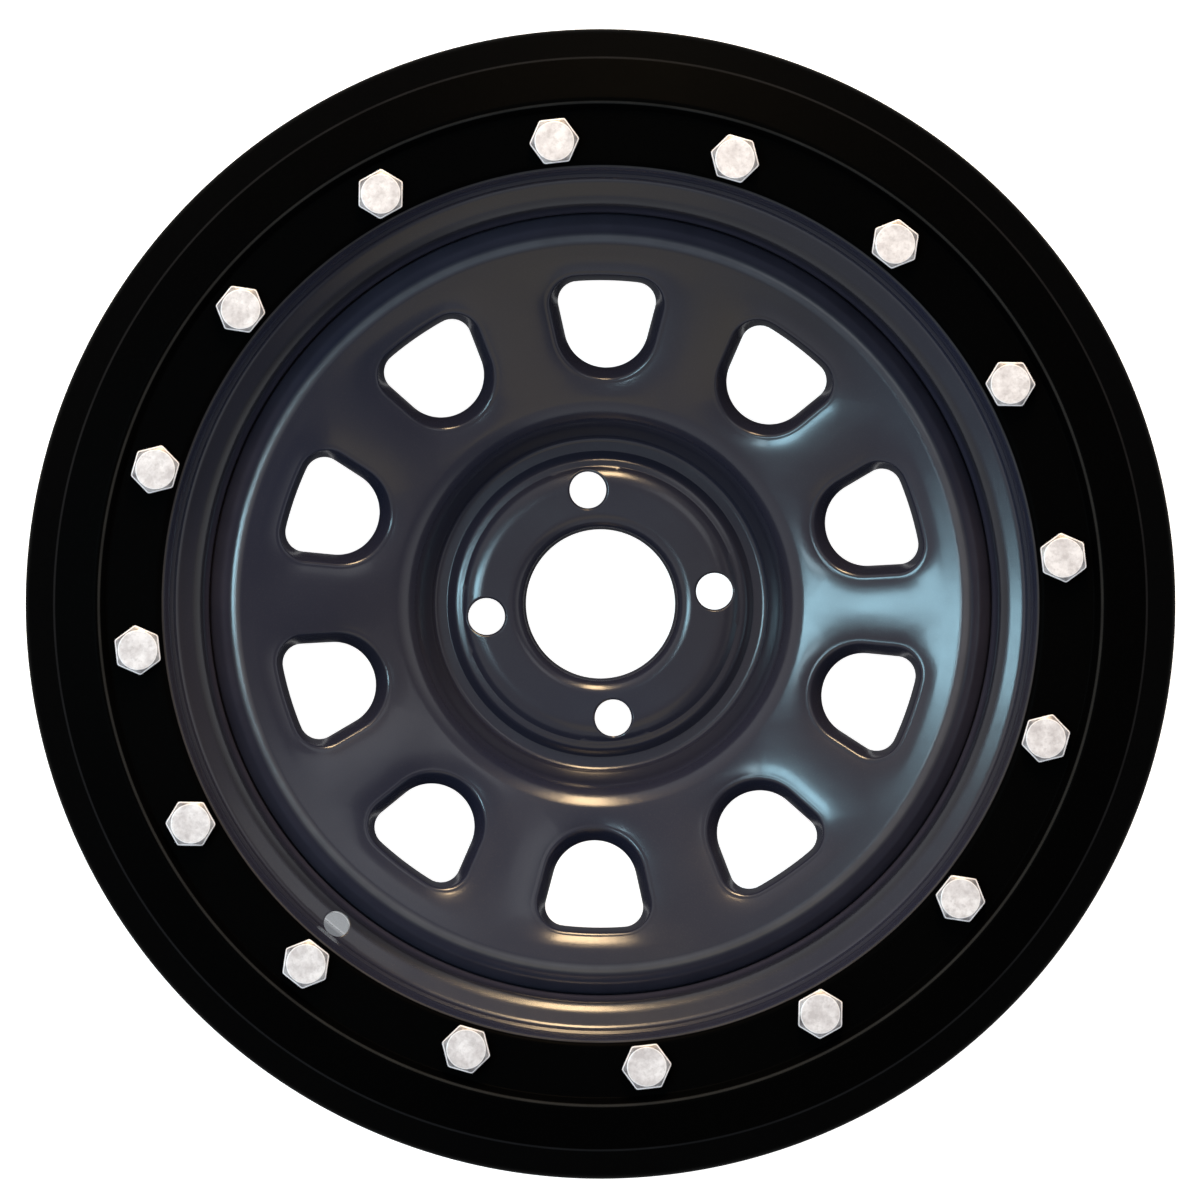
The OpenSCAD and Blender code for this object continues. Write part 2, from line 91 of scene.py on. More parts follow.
FLANGE_OUT_R = SEAT_D / 2 + FLANGE_H
LIP_R = FLANGE_OUT_R - RIM_T / 2
REACH = LIP_EDGE + CURL_R
SEAT_R = SEAT_D / 2 - RIM_T / 2
TOE_R = SEAT_R - SEAT_W * tan(SEAT_TAPER)
HUMP_R = TOE_R + HUMP_H
WELL_R = SEAT_R - WELL_DEPTH
LEDGE_R = SEAT_R - LEDGE_DEPTH
FRONT_Z = REACH + RIM_W
RIM_FRONT_Z = FRONT_Z + REACH
WALL_TOP_Z = FRONT_Z - SEAT_W - HUMP_W
WALL_LOW_Z = WALL_TOP_Z - (HUMP_R - WELL_R) * tan(WELL_WALL)
HUB_SEAT_Z = REACH + RIM_W / 2 + WHEEL_OFFSET
SEAT_MID_Z = HUB_SEAT_Z + DISC_T / 2
PAD_MID_Z = SEAT_MID_Z + PAD_H
PAD_STEP_R = HUB_SEAT_R - PAD_STEP_IN - PAD_STEP_W
PAD_STEP_Z = PAD_MID_Z - PAD_H * PAD_STEP_DEPTH
BOWL_R = HUB_SEAT_R + HUB_SEAT_W
BAND_R = BOWL_R + BOWL_H / tan(BOWL_ANGLE)
BAND_Z = SEAT_MID_Z + BOWL_H


def band_height(radius):
    """Height of the window band's middle line."""
    return BAND_Z + (radius - BAND_R) * tan(BAND_ANGLE)


SKIRT_R = WELL_R - RIM_T / 2 - PRESS_GAP - DISC_T / 2
CREST_R = SKIRT_R - SHOULDER_W
CREST_Z = band_height(CREST_R)
SKIRT_TOP_Z = CREST_Z - SHOULDER_W * tan(SHOULDER_ANGLE)
SKIRT_END_Z = SKIRT_TOP_Z - SKIRT_H
WELL_REAR_Z = SKIRT_END_Z - DISC_WELD - WELD_ROOM
MOUNT_FRONT_Z = RIM_FRONT_Z + MOUNT_T
MOUNT_MID_Z = RIM_FRONT_Z + MOUNT_T / 2
RING_FRONT_Z = MOUNT_FRONT_Z + RING_T
RING_MID_Z = RING_FRONT_Z - RING_T / 2
RING_INNER_R = SEAT_D / 2 - RING_INSET
RING_BOLT_R = RING_INNER_R + BOLT_IN
MOUNT_INNER_R = RING_INNER_R + RING_T + PILOT_GAP
MOUNT_OUTER_R = FLANGE_OUT_R + MOUNT_OUT
STEP_R = MOUNT_OUTER_R + STEP_GAP
SLOPE_R, SLOPE_Z = STEP_R + STEP_W, RING_MID_Z + RING_STEP_H
OUTER_R, OUTER_Z = SLOPE_R + RING_SLOPE_W, SLOPE_Z - RING_SLOPE_H

# Middle lines of the bent sheets: radius and height, with a bend's radius for all but the ends
RIM_PATH = [
    (LIP_R, 0),
    (LIP_R, REACH - RIM_T / 2, CURL_R - RIM_T / 2),
    (SEAT_R, REACH - RIM_T / 2, HEEL_R + RIM_T / 2),
    (TOE_R, REACH + SEAT_W, TOE_BEND),
    (HUMP_R, REACH + SEAT_W + HUMP_W / 2, HUMP_BEND),
    (LEDGE_R, REACH + SEAT_W + 2 * HUMP_W, LEDGE_BEND),
    (LEDGE_R, WELL_REAR_Z - LEDGE_FALL, LEDGE_BEND),
    (WELL_R, WELL_REAR_Z, WELL_REAR_BEND),
    (WELL_R, WALL_LOW_Z, WELL_FRONT_BEND),
    (HUMP_R, WALL_TOP_Z, WALL_TOP_BEND),
    (TOE_R, FRONT_Z - SEAT_W, TOE_BEND),
    (SEAT_R, FRONT_Z + RIM_T / 2, HEEL_R + RIM_T / 2),
    (LIP_R, FRONT_Z + RIM_T / 2, CURL_R - RIM_T / 2),
    (LIP_R, RIM_FRONT_Z),
]
DISC_PATH = [
    (BORE_D / 2 + DISC_T / 2, HUB_SEAT_Z + BORE_SHORT),
    (BORE_D / 2 + DISC_T / 2, PAD_MID_Z, BORE_EDGE_R - DISC_T / 2),
    (HUB_SEAT_R - PAD_EDGE_IN, PAD_MID_Z, PAD_BEND),
    (PAD_STEP_R, PAD_STEP_Z, SHARP_BEND),
    (PAD_STEP_R + PAD_STEP_W, PAD_STEP_Z - PAD_H * PAD_STEP_SLANT, SHARP_BEND),
    (HUB_SEAT_R, SEAT_MID_Z, SHARP_BEND),
    (BOWL_R, SEAT_MID_Z, BOWL_FOOT_BEND),
    (BAND_R, BAND_Z, BOWL_BEND),
    (CREST_R, CREST_Z, CREST_BEND),
    (SKIRT_R, SKIRT_TOP_Z, SKIRT_BEND),
    (SKIRT_R, SKIRT_END_Z),
]
MOUNT_PATH = [(MOUNT_INNER_R, MOUNT_MID_Z), (MOUNT_OUTER_R, MOUNT_MID_Z)]
RING_PATH = [
    (RING_INNER_R + RING_T / 2, RING_FRONT_Z - RING_INNER_EDGE),
    (RING_INNER_R + RING_T / 2, RING_MID_Z, RING_TIGHT_BEND),
    (STEP_R, RING_MID_Z, RING_SOFT_BEND),
    (SLOPE_R, SLOPE_Z, RING_TIGHT_BEND),
    (OUTER_R, OUTER_Z, RING_SOFT_BEND),
    (OUTER_R + RING_OUTER_W, OUTER_Z - RING_OUTER_H, RING_OUTER_BEND),
    (OUTER_R + RING_OUTER_W, OUTER_Z - RING_OUTER_H - RING_OUTER_EDGE),
]

# ---- How finely the meshes are cut
# Degrees of a bend between two rows, and the longest cut of a straight
BEND_CUT, STRAIGHT_CUT = 6.0, 3.2
# From a bend to the first row beside it. A sheet's rounded end must not reach past that row.
SUPPORT = 0.7
END_R = SUPPORT
# Angles of the points round one side of a sheet's end
END_ANGLES = (0, 30, 60, 90)
# A break point this close to a row, as a share of the cut, falls on the row
SNAP = 0.1
# Straights shorter than this are left out
TINY = 1e-6
# Between the points of a hole's outline
OUTLINE_CUT = 0.4
# Rows round a hole, as shares of the way from its edge to its field's border
FIELD_SHARES = (1.0, 0.82, 0.64, 0.48, 0.34, 0.22, 0.12, 0.05)
# Rounds that find where a hole's wall meets a bent side
WALL_ROUNDS = 9
# Points closer than this become one, in metres
MERGE = 2e-6
# Columns of a turned sheet
WHEEL_COLUMNS, RING_COLUMNS = 240, 320
# Degrees between the points round a bolt
BOLT_CUT = 4
# Rows to a weld's ripple, and the fewest rows of a run
RIPPLE_ROWS, RUN_ROWS = 5, 40


# ---- Sections: a middle line's rows are (radius, height, normal's radius, normal's height)
def left(v):
    return np.array([-v[1], v[0]])


def turned(v, angle):
    c, s = math.cos(angle), math.sin(angle)
    return np.array([c * v[0] - s * v[1], s * v[0] + c * v[1]])


def middle_line(path):
    """Rounds the corners of a path and cuts its straights, with a row close to each bend."""
    corners = [np.array(p[:2], float) for p in path]
    stretches, arcs, start = [], [], corners[0]
    for i in range(1, len(path) - 1):
        before, after = corners[i] - corners[i - 1], corners[i + 1] - corners[i]
        before, after = before / np.linalg.norm(before), after / np.linalg.norm(after)
        turn = math.atan2(before[0] * after[1] - before[1] * after[0], before @ after)
        bend, side = path[i][2], math.copysign(1, turn)
        entry = corners[i] - before * bend * math.tan(abs(turn) / 2)
        centre = entry + left(before) * bend * side
        count = max(2, math.ceil(abs(math.degrees(turn)) / BEND_CUT))
        arc = []
        for k in range(count + 1):
            n = turned(left(before), turn * k / count)
            arc.append([*(centre - side * bend * n), *n])
        stretches.append((start, entry))
        arcs.append(arc)
        start = corners[i] + after * bend * math.tan(abs(turn) / 2)
    stretches.append((start, corners[-1]))
    rows = []
    for i, (a, b) in enumerate(stretches):
        length = np.linalg.norm(b - a)
        if length > TINY:
            n = left((b - a) / length)
            at = [0.0, length]
            if length > 3 * SUPPORT:
                cuts = math.ceil((length - 2 * SUPPORT) / STRAIGHT_CUT)
                at = [0.0, *np.linspace(SUPPORT, length - SUPPORT, max(2, cuts + 1)), length]
            # Where a bend begins or ends, its own row takes the place of the straight's
            for s in at:
                if (i == 0 or s > 0) and (i == len(stretches) - 1 or s < length):
                    rows.append([*(a + (b - a) * s / length), *n])
        if i < len(arcs):
            rows.extend(arcs[i])
    return np.array(rows)


def with_break(rows, point):
    """Puts a row where the middle line is nearest to a point, and returns rows and its index."""
    best = None
    for i in range(len(rows) - 1):
        a, b = rows[i, :2], rows[i + 1, :2]
        d = b - a
        t = min(1.0, max(0.0, (np.array(point) - a) @ d / (d @ d)))
        gap = np.linalg.norm(a + d * t - point)
        if best is None or gap < best[0]:
            best = (gap, i, t)
    _, i, t = best
    if t < SNAP:
        return rows, i
    if t > 1 - SNAP:
        return rows, i + 1
    row = rows[i] * (1 - t) + rows[i + 1] * t
    row[2:] /= np.linalg.norm(row[2:])
    return np.insert(rows, i + 1, row, axis=0), i + 1


def side_of(rows, offset):
    return rows[:, :2] + rows[:, 2:] * offset


def rounded_end(row, along, thickness):
    """Points round a sheet's end from its left side to its right; along points out of the sheet."""
    p, n, half = row[:2], row[2:], thickness / 2
    found = []
    for side, angles in ((1, END_ANGLES), (-1, END_ANGLES[::-1])):
        for a in angles:
            c, s = math.cos(math.radians(a)), math.sin(math.radians(a))
            found.append(p + n * side * (half - END_R + END_R * c) - along * (END_R - END_R * s))
    return found


# ---- Meshes
class Skin:
    """Collects grids of points that share their borders, and turns them into one closed mesh."""

    def __init__(self):
        self.points, self.faces, self.finishes = [], [], []

    def grid(self, rows, closed=True, finish=0):
        """rows is a list of equally long lists of points, and closed joins each row's ends."""
        start, width = len(self.points), len(rows[0])
        for row in rows:
            self.points.extend(row)
        for i in range(len(rows) - 1):
            for j in range(width if closed else width - 1):
                here, below, k = start + i * width, start + (i + 1) * width, (j + 1) % width
                self.faces.append((here + j, here + k, below + k, below + j))
                self.finishes.append(finish)

    def fan(self, row, centre, finish=0):
        start = len(self.points)
        self.points.extend(row)
        self.points.append(centre)
        for j in range(len(row)):
            self.faces.append((start + j, start + (j + 1) % len(row), start + len(row)))
            self.finishes.append(finish)

    def piece(self, name, node, slot, *materials):
        mesh = bpy.data.meshes.new(name)
        mesh.from_pydata([[c * MM for c in p] for p in self.points], [], self.faces)
        for material in materials:
            mesh.materials.append(material)
        mesh.polygons.foreach_set("material_index", self.finishes)
        bm = bmesh.new()
        bm.from_mesh(mesh)
        bmesh.ops.remove_doubles(bm, verts=bm.verts, dist=MERGE)
        bmesh.ops.recalc_face_normals(bm, faces=bm.faces)
        bm.to_mesh(mesh)
        bm.free()
        mesh.polygons.foreach_set("use_smooth", [True] * len(mesh.polygons))
        piece = bpy.data.objects.new(name, mesh)
        bpy.context.scene.collection.objects.link(piece)
        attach(piece, "root")
        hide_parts(node)
        return piece


def full_circle(r):
    return [(0, 0, r, 0, 360)]


def outline_table(circles, g):
    """Dense outline through circles (x, y, radius, first and last angle).

    Returns the polar angle of each of its points at offset g, the points and their normals.
    """
    samples = []
    for x, y, r, first, last in circles:
        for a in np.radians(np.linspace(first, last, max(2, int(abs(last - first))))):
            n = np.array([math.cos(a), math.sin(a)])
            samples.append((np.array([x, y]) + r * n, n))
    filled = []
    for (p, n), (q, m) in zip(samples, samples[1:] + samples[:1]):
        steps = max(1, int(np.linalg.norm(q - p) / OUTLINE_CUT))
        filled.extend((p + (q - p) * k / steps, n + (m - n) * k / steps) for k in range(steps))
    p = np.array([f[0] for f in filled])
    n = np.array([f[1] for f in filled])
    n /= np.linalg.norm(n, axis=1)[:, None]
    polar = np.arctan2((p + g * n)[:, 1], (p + g * n)[:, 0])
    return polar, p, n


def border_plan(radii, half, columns):
    """Border of a hole's field seen along the axle line, in order round the hole."""
    across = np.linspace(half, -half, columns + 1)
    outer = [(radii[-1], a) for a in across[:-1]]
    down = [(r, -half) for r in radii[:0:-1]]
    inner = [(radii[0], a) for a in across[:0:-1]]
    up = [(r, half) for r in radii[:-1]]
    border = np.array(outer + down + inner + up)
    return np.stack([border[:, 0] * np.sin(border[:, 1]), border[:, 0] * np.cos(border[:, 1])],
                    axis=1)


def height_at(plan, side):
    return np.interp(np.hypot(plan[:, 0], plan[:, 1]), side[:, 0], side[:, 1])


class Hole:
    """A hole through a turned sheet: its centre on the front, the slope there and its outline.

    Each ring of its edge is (g, where, h): the outline grown by g, at height h over the tangent
    plane ("plane"), or h over the front ("front") or over the rear ("rear") of the sheet.
    The sheet round the hole sinks by sink, and the sink fades out over a distance of fade.
    evened spaces the points of the outline evenly.
    """

    def __init__(self, radius, height, slope, circles, rings, sink=0.0, fade=5.0, evened=False):
        self.radius, self.height, self.slope = radius, height, math.radians(slope)
        self.circles, self.rings, self.sink, self.fade = circles, rings, sink, fade
        self.evened = evened

    def ring(self, p, n, g, where, h, fronts, rears):
        """Plan and height of one ring round the hole."""
        q = p + n * g
        sine, cosine = math.sin(self.slope), math.cos(self.slope)
        up = h + q[:, 0] ** 2 * sine / (2 * (self.radius + q[:, 1] * cosine))
        side = {"plane": None, "front": fronts, "rear": rears}[where]
        for _ in range(1 if side is None else WALL_ROUNDS):
            plan = np.stack([q[:, 0], self.radius + q[:, 1] * cosine - up * sine], axis=1)
            z = self.height + q[:, 1] * sine + up * cosine
            if side is not None:
                up = up + (height_at(plan, side) + h - z) * cosine
        return plan, z

    def field(self, fronts, rears, half, columns):
        """All rings from the front border through the hole to the rear border."""
        front_plan = border_plan(fronts[:, 0], half, columns)
        rear_plan = border_plan(rears[:, 0], half, columns)
        slant = np.stack([front_plan[:, 0],
                          (front_plan[:, 1] - self.radius) / math.cos(self.slope)], axis=1)
        polar = np.unwrap(np.arctan2(slant[:, 1], slant[:, 0]))
        if self.evened:
            whole = math.copysign(2 * math.pi, polar[-1] - polar[0])
            even = np.linspace(0, whole, len(polar), endpoint=False)
            polar = even + (polar - even).mean()
        table, p, n = outline_table(self.circles, self.rings[0][0])
        at = [np.interp(polar, table, v, period=2 * math.pi)
              for v in (p[:, 0], p[:, 1], n[:, 0], n[:, 1])]
        p, n = np.stack(at[:2], axis=1), np.stack(at[2:], axis=1)
        n /= np.linalg.norm(n, axis=1)[:, None]
        edge = [self.ring(p, n, g, where, h, fronts, rears) for g, where, h in self.rings]
        found = []
        for border, first, side in ((front_plan, edge[0][0], fronts),
                                    (rear_plan, edge[-1][0], rears)):
            part = []
            for share in FIELD_SHARES:
                plan = first + (border - first) * share
                far = np.linalg.norm(plan - first, axis=1)
                sunk = self.sink * np.exp(-far / self.fade) * (1 - share)
                part.append((plan, height_at(plan, side) - sunk))
            found.append(part)
        return found[0] + [(plan, z - self.sink) for plan, z in edge] + found[1][::-1]


def turned_row(point, angles):
    return [(point[0] * math.cos(a), point[0] * math.sin(a), point[1]) for a in angles]


def sheet_piece(path, thickness, columns, first, bands):
    """A bent sheet turned round the axle line in columns, the first of them at an angle.

    Each band of holes is two break points, a Hole, its directions and half its columns.
    """
    rows = middle_line(path)
    for a, b, *_ in bands:
        for point in (a, b):
            rows, _ = with_break(rows, point)
    marks = [[with_break(rows, point)[1] for point in (a, b)] for a, b, *_ in bands]
    fronts, rears = side_of(rows, thickness / 2), side_of(rows, -thickness / 2)
    step = 360 / columns
    angles = [math.radians(first + step * j) for j in range(columns)]
    ends = []
    for i, j in ((0, 1), (-1, -2)):
        along = rows[i, :2] - rows[j, :2]
        ends.append(rounded_end(rows[i], along / np.linalg.norm(along), thickness))
    skin = Skin()
    starts = [0] + [m[1] for m in marks]
    stops = [m[0] for m in marks] + [len(rows) - 1]
    for k, (i, j) in enumerate(zip(starts, stops)):
        front, rear = list(fronts[i:j + 1]), list(rears[i:j + 1])
        # The first and last row give way to the rounded ends
        if k == 0:
            strips = [rear[:0:-1] + ends[0][::-1] + front[1:]]
        elif k == len(bands):
            strips = [front[:-1] + ends[1] + rear[-2::-1]]
        else:
            strips = [front, rear]
        for strip in strips:
            skin.grid([turned_row(p, angles) for p in strip])
    for (i, j), (_, _, hole, directions, half) in zip(marks, bands):
        front, rear = fronts[i:j + 1], rears[i:j + 1]
        rings = hole.field(front, rear, math.radians(half * step), 2 * half)
        taken = set()
        for direction in directions:
            centre = round((direction - first) / step)
            taken.update((centre + k) % columns for k in range(-half, half))
            turn = math.radians(first + centre * step)
            c, s = math.cos(turn), math.sin(turn)
            skin.grid([[(y * c - x * s, y * s + x * c, z) for (x, y), z in zip(plan, height)]
                       for plan, height in rings])
        for k in range(columns):
            if k not in taken:
                pair = (angles[k], angles[(k + 1) % columns])
                skin.grid([turned_row(p, pair) for p in front], closed=False)
                skin.grid([turned_row(p, pair) for p in rear], closed=False)
    return skin


def spread(first, count, way=1):
    """Directions of evenly spaced holes round the axle line."""
    return [first + way * 360 / count * k for k in range(count)]


# ---- Materials
def new_material(name):
    material = bpy.data.materials.new(name)
    material.use_nodes = True
    tree = material.node_tree
    shader = next(n for n in tree.nodes if n.type == "BSDF_PRINCIPLED")
    return material, tree, shader


def node(tree, kind, inputs=(), **settings):
    made = tree.nodes.new(kind)
    for key, value in settings.items():
        setattr(made, key, value)
    for key, value in dict(inputs).items():
        if isinstance(value, bpy.types.NodeSocket):
            tree.links.new(value, made.inputs[key])
        else:
            made.inputs[key].default_value = value
    return made


def noise(tree, place, scale, detail=2.0, rough=0.5):
    return node(tree, "ShaderNodeTexNoise", {
        "Vector": place, "Scale": scale, "Detail": detail, "Roughness": rough}).outputs["Fac"]


def ramp(tree, value, low, high, to_low=0.0, to_high=1.0):
    return node(tree, "ShaderNodeMapRange", {
        "Value": value, "From Min": low, "From Max": high,
        "To Min": to_low, "To Max": to_high}).outputs["Result"]


def mixed(tree, factor, a, b):
    """Mix of two colours, each of which is a tuple or a socket, by a socket's value."""
    made = node(tree, "ShaderNodeMix", data_type="RGBA")
    tree.links.new(factor, made.inputs["Factor"])
    # A mix node has sockets of one name for each type of data: 6 and 7 are the two colours
    for socket, value in ((made.inputs[6], a), (made.inputs[7], b)):
        if isinstance(value, bpy.types.NodeSocket):
            tree.links.new(value, socket)
        else:
            socket.default_value = (*value, 1.0)
    return made.outputs[2]


def combined(tree, operation, a, b):
    return node(tree, "ShaderNodeMath", {0: a, 1: b}, operation=operation).outputs["Value"]


def bump(tree, strength, distance, height, **more):
    return node(tree, "ShaderNodeBump", {
        "Strength": strength, "Distance": distance, "Height": height, **more}).outputs["Normal"]


def axle_distance(tree, place):
    """Distance from the axle line, in metres, in the object's own space."""
    flat = node(tree, "ShaderNodeVectorMath", {0: place, 1: (1.0, 1.0, 0.0)},
                operation="MULTIPLY").outputs["Vector"]
    return node(tree, "ShaderNodeVectorMath", {0: flat}, operation="LENGTH").outputs["Value"]


# Scales of the noises in black paint or powder and in zinc, in waves to the metre
CLOUD, SPECK, PATCH, FILM, PEEL, GRAIN = 5.0, 1500.0, 60.0, 40.0, 260.0, 2600.0
STAIN, MOTTLE, ZINC_FILM, PIT = 170.0, 620.0, 700.0, 800.0
# Depths of their bumps, in metres
PEEL_DEPTH, GRAIN_DEPTH, PIT_DEPTH = 0.0004, 0.0001, 0.0002
# Specks are lighter than the paint by a factor and a little grey, and rougher
SPECK_GAIN, SPECK_GREY, SPECK_MOST, SPECK_ROUGH = 1.35, 0.001, 0.6, 0.05
# Share of a painted ring's half width that is evenly tinted; the rings are painted light and
# painted shade
PAINTED_RING_CORE = 0.35
MOTTLE_GAIN, MOTTLE_MOST, PIT_STRENGTH = 0.80, 0.45, 0.35
COAT_ROUGH = 0.1


def black_coat(name, cool, warm, rough, peel, grain, specular=0.5, coat=0.0, painted_rings=()):
    """Black paint or powder: two close tints in broad clouds, fine specks, orange peel and grain.

    edges lists rings of painted light and painted shade, each a tint by distance from the axle
    line, as (distance from the axle line and half width in mm, tint).
    """
    material, tree, shader = new_material(name)
    place = node(tree, "ShaderNodeTexCoord").outputs["Object"]
    cloud = ramp(tree, noise(tree, place, CLOUD), 0.35, 0.65)
    speck = noise(tree, place, SPECK, 2.0, 0.6)
    tint = mixed(tree, cloud, cool, warm)
    light = tuple(c * SPECK_GAIN + SPECK_GREY for c in warm)
    tint = mixed(tree, ramp(tree, speck, 0.52, 0.78, 0.0, SPECK_MOST), tint, light)
    patches = noise(tree, place, PATCH, 3.0)
    # Rings of painted light and painted shade: a tint by distance from the axle line, broken into
    # patches
    for distance, half, grey in painted_rings:
        off = combined(tree, "SUBTRACT", axle_distance(tree, place), distance * MM)
        off = combined(tree, "ABSOLUTE", off, 0.0)
        line = ramp(tree, off, half * MM * PAINTED_RING_CORE, half * MM, 1.0, 0.0)
        painted_ring_mask = combined(tree, "MULTIPLY", line, ramp(tree, patches, 0.25, 0.6, 0.7, 1.0))
        tint = mixed(tree, painted_ring_mask, tint, grey)
    tree.links.new(tint, shader.inputs["Base Color"])
    film = ramp(tree, noise(tree, place, FILM, 4.0), 0.3, 0.7, *rough)
    film = combined(tree, "ADD", film, ramp(tree, speck, 0.5, 0.8, 0.0, SPECK_ROUGH))
    tree.links.new(film, shader.inputs["Roughness"])
    waves = bump(tree, peel, PEEL_DEPTH, noise(tree, place, PEEL, 1.5))
    grains = bump(tree, grain, GRAIN_DEPTH, noise(tree, place, GRAIN), Normal=waves)
    tree.links.new(grains, shader.inputs["Normal"])
    shader.inputs["Specular IOR Level"].default_value = specular
    shader.inputs["Coat Weight"].default_value = coat
    shader.inputs["Coat Roughness"].default_value = COAT_ROUGH
    return material


def plated(name, dull, bright, rough, metallic):
    """Zinc plating: soft cloudy stains, fine mottling and small pits."""
    material, tree, shader = new_material(name)
    place = node(tree, "ShaderNodeTexCoord").outputs["Object"]
    cloud = ramp(tree, noise(tree, place, STAIN, 4.0, 0.6), 0.34, 0.64)
    tint = mixed(tree, cloud, dull, bright)
    mottle = ramp(tree, noise(tree, place, MOTTLE, 3.0, 0.55), 0.50, 0.72, 0.0, MOTTLE_MOST)
    tint = mixed(tree, mottle, tint, tuple(c * MOTTLE_GAIN for c in dull))
    tree.links.new(tint, shader.inputs["Base Color"])
    film = ramp(tree, noise(tree, place, ZINC_FILM, 3.0), 0.3, 0.7, *rough)
    tree.links.new(film, shader.inputs["Roughness"])
    pits = bump(tree, PIT_STRENGTH, PIT_DEPTH, noise(tree, place, PIT, 3.0))
    tree.links.new(pits, shader.inputs["Normal"])
    shader.inputs["Metallic"].default_value = metallic
    return material


gloss = black_coat(
    "gloss_black", (0.0168, 0.0190, 0.0390), (0.0218, 0.0210, 0.0320), (0.17, 0.23),
    peel=0.05, grain=0.22, coat=0.2, painted_rings=[
        # Painted rings: painted light lifting the shade in the trough, a painted highlight along
        # the crest, and painted shade at the foot of the rim's wall
        (166.8, 6.5, (0.060, 0.056, 0.085)),
        (159.2, 2.6, (0.078, 0.080, 0.100)),
        (174.8, 3.6, (0.0075, 0.0075, 0.0140))])
weld_coat = black_coat(
    "weld_black", (0.0190, 0.0185, 0.0280), (0.0230, 0.0210, 0.0250), (0.30, 0.42),
    peel=0.2, grain=0.4)
mount_coat = black_coat(
    "mount_black", (0.0085, 0.0085, 0.0100), (0.0110, 0.0105, 0.0110), (0.42, 0.55),
    peel=0.2, grain=0.6, specular=0.35)
ring_coat = black_coat(
    "ring_black", (0.0006, 0.0006, 0.0007), (0.0008, 0.0008, 0.0008), (0.38, 0.44),
    peel=0.08, grain=0.3, specular=0.008, painted_rings=[
        # Painted highlights along the ring's inner edge and on its two bends
        (RING_INNER_R + 0.25, 0.55, (0.060, 0.058, 0.064)),
        (SLOPE_R - 0.8, 0.75, (0.022, 0.022, 0.022)),
        (OUTER_R + 0.7, 0.6, (0.011, 0.011, 0.012))])
# Lit and shaded copies of one zinc plating: the first is the lit top, the second painted shade on
# the chamfer and sides, the third a painted highlight on the top's rim and the head's outline
zinc = plated("bright_zinc", (0.59, 0.555, 0.585), (0.90, 0.875, 0.92), (0.42, 0.58), 0.1)
side_zinc = plated("shaded_zinc", (0.13, 0.12, 0.13), (0.52, 0.51, 0.53), (0.35, 0.5), 0.5)
edge_zinc = plated("highlight_zinc", (0.80, 0.78, 0.81), (0.97, 0.95, 0.99), (0.30, 0.45), 0.1)

# ---- Rim, with the valve hole through the drop centre's front wall
# The hole's field runs from this far below the hole up to this point over the wall's top bend
VALVE_FIELD_DOWN, VALVE_FIELD_TOP = 8.6, (HUMP_R - 0.6, WALL_TOP_Z + 3.3)
VALVE_FIELD_HALF = 3
VALVE_RINGS = [
    (0.3, "front", 0.0), (0.1, "front", -0.08), (0.0, "front", -0.3),
    (0.0, "rear", 0.3), (0.1, "rear", 0.08), (0.3, "rear", 0.0)]
wall_n = turned(np.array([0.0, 1.0]), math.radians(WELL_WALL))
wall_along = turned(np.array([1.0, 0.0]), math.radians(WELL_WALL))
valve_mid = np.array([WELL_R + (HUMP_R - WELL_R) * VALVE_SHARE,
                      WALL_LOW_Z + (WALL_TOP_Z - WALL_LOW_Z) * VALVE_SHARE])
valve = Hole(valve_mid[0] + wall_n[0] * RIM_T / 2, valve_mid[1] + wall_n[1] * RIM_T / 2,
             WELL_WALL, full_circle(VALVE_D / 2), VALVE_RINGS, evened=True)
rim = sheet_piece(RIM_PATH, RIM_T, WHEEL_COLUMNS, VALVE_ANGLE, [
    (valve_mid - wall_along * VALVE_FIELD_DOWN, VALVE_FIELD_TOP,
     valve, [VALVE_ANGLE], VALVE_FIELD_HALF)])
rim.piece("rim_strip", "rim_barrel", "rim_paint", gloss)

# ---- Disc, with its windows and hub bolt holes
# A window's outline is an arch, two corners and a round inner end
corner_x = WINDOW_W / 2 - WINDOW_CORNER_R
arch_y = WINDOW_L / 2 - WINDOW_ARCH_R
corner_y = arch_y + math.sqrt((WINDOW_ARCH_R - WINDOW_CORNER_R) ** 2 - corner_x ** 2)
end_y = WINDOW_END_R - WINDOW_L / 2
corner_turn = math.degrees(math.atan2(corner_y - arch_y, corner_x))
side_turn = math.degrees(math.atan2(corner_y - end_y, corner_x) - math.acos(
    (WINDOW_END_R - WINDOW_CORNER_R) / math.hypot(corner_x, corner_y - end_y)))
window_circles = [
    (corner_x, corner_y, WINDOW_CORNER_R, side_turn, corner_turn),
    (0, arch_y, WINDOW_ARCH_R, corner_turn, 180 - corner_turn),
    (-corner_x, corner_y, WINDOW_CORNER_R, 180 - corner_turn, 180 - side_turn),
    (0, end_y, WINDOW_END_R, 180 - side_turn, 360 + side_turn),
]
window_z = band_height(WINDOW_MID_R) + DISC_T / 2 / math.cos(math.radians(BAND_ANGLE))
lean = math.radians(WINDOW_LIP_LEAN)
edge_centre = WINDOW_EDGE_R * math.cos(lean) \
    + (WINDOW_LIP_H - WINDOW_EDGE_R * (1 - math.sin(lean))) * math.tan(lean)


def lip(depth, out=0.0):
    """Growth of the outline on the leaning lip, at a depth and a distance out from its face."""
    return (WINDOW_LIP_H - depth) * math.tan(lean) + out / math.cos(lean)


# Rows on a window's rounded front edge, as shares of the edge's turn
TURN_SHARES = (0.2, 0.4, 0.6, 0.8, 1.0)
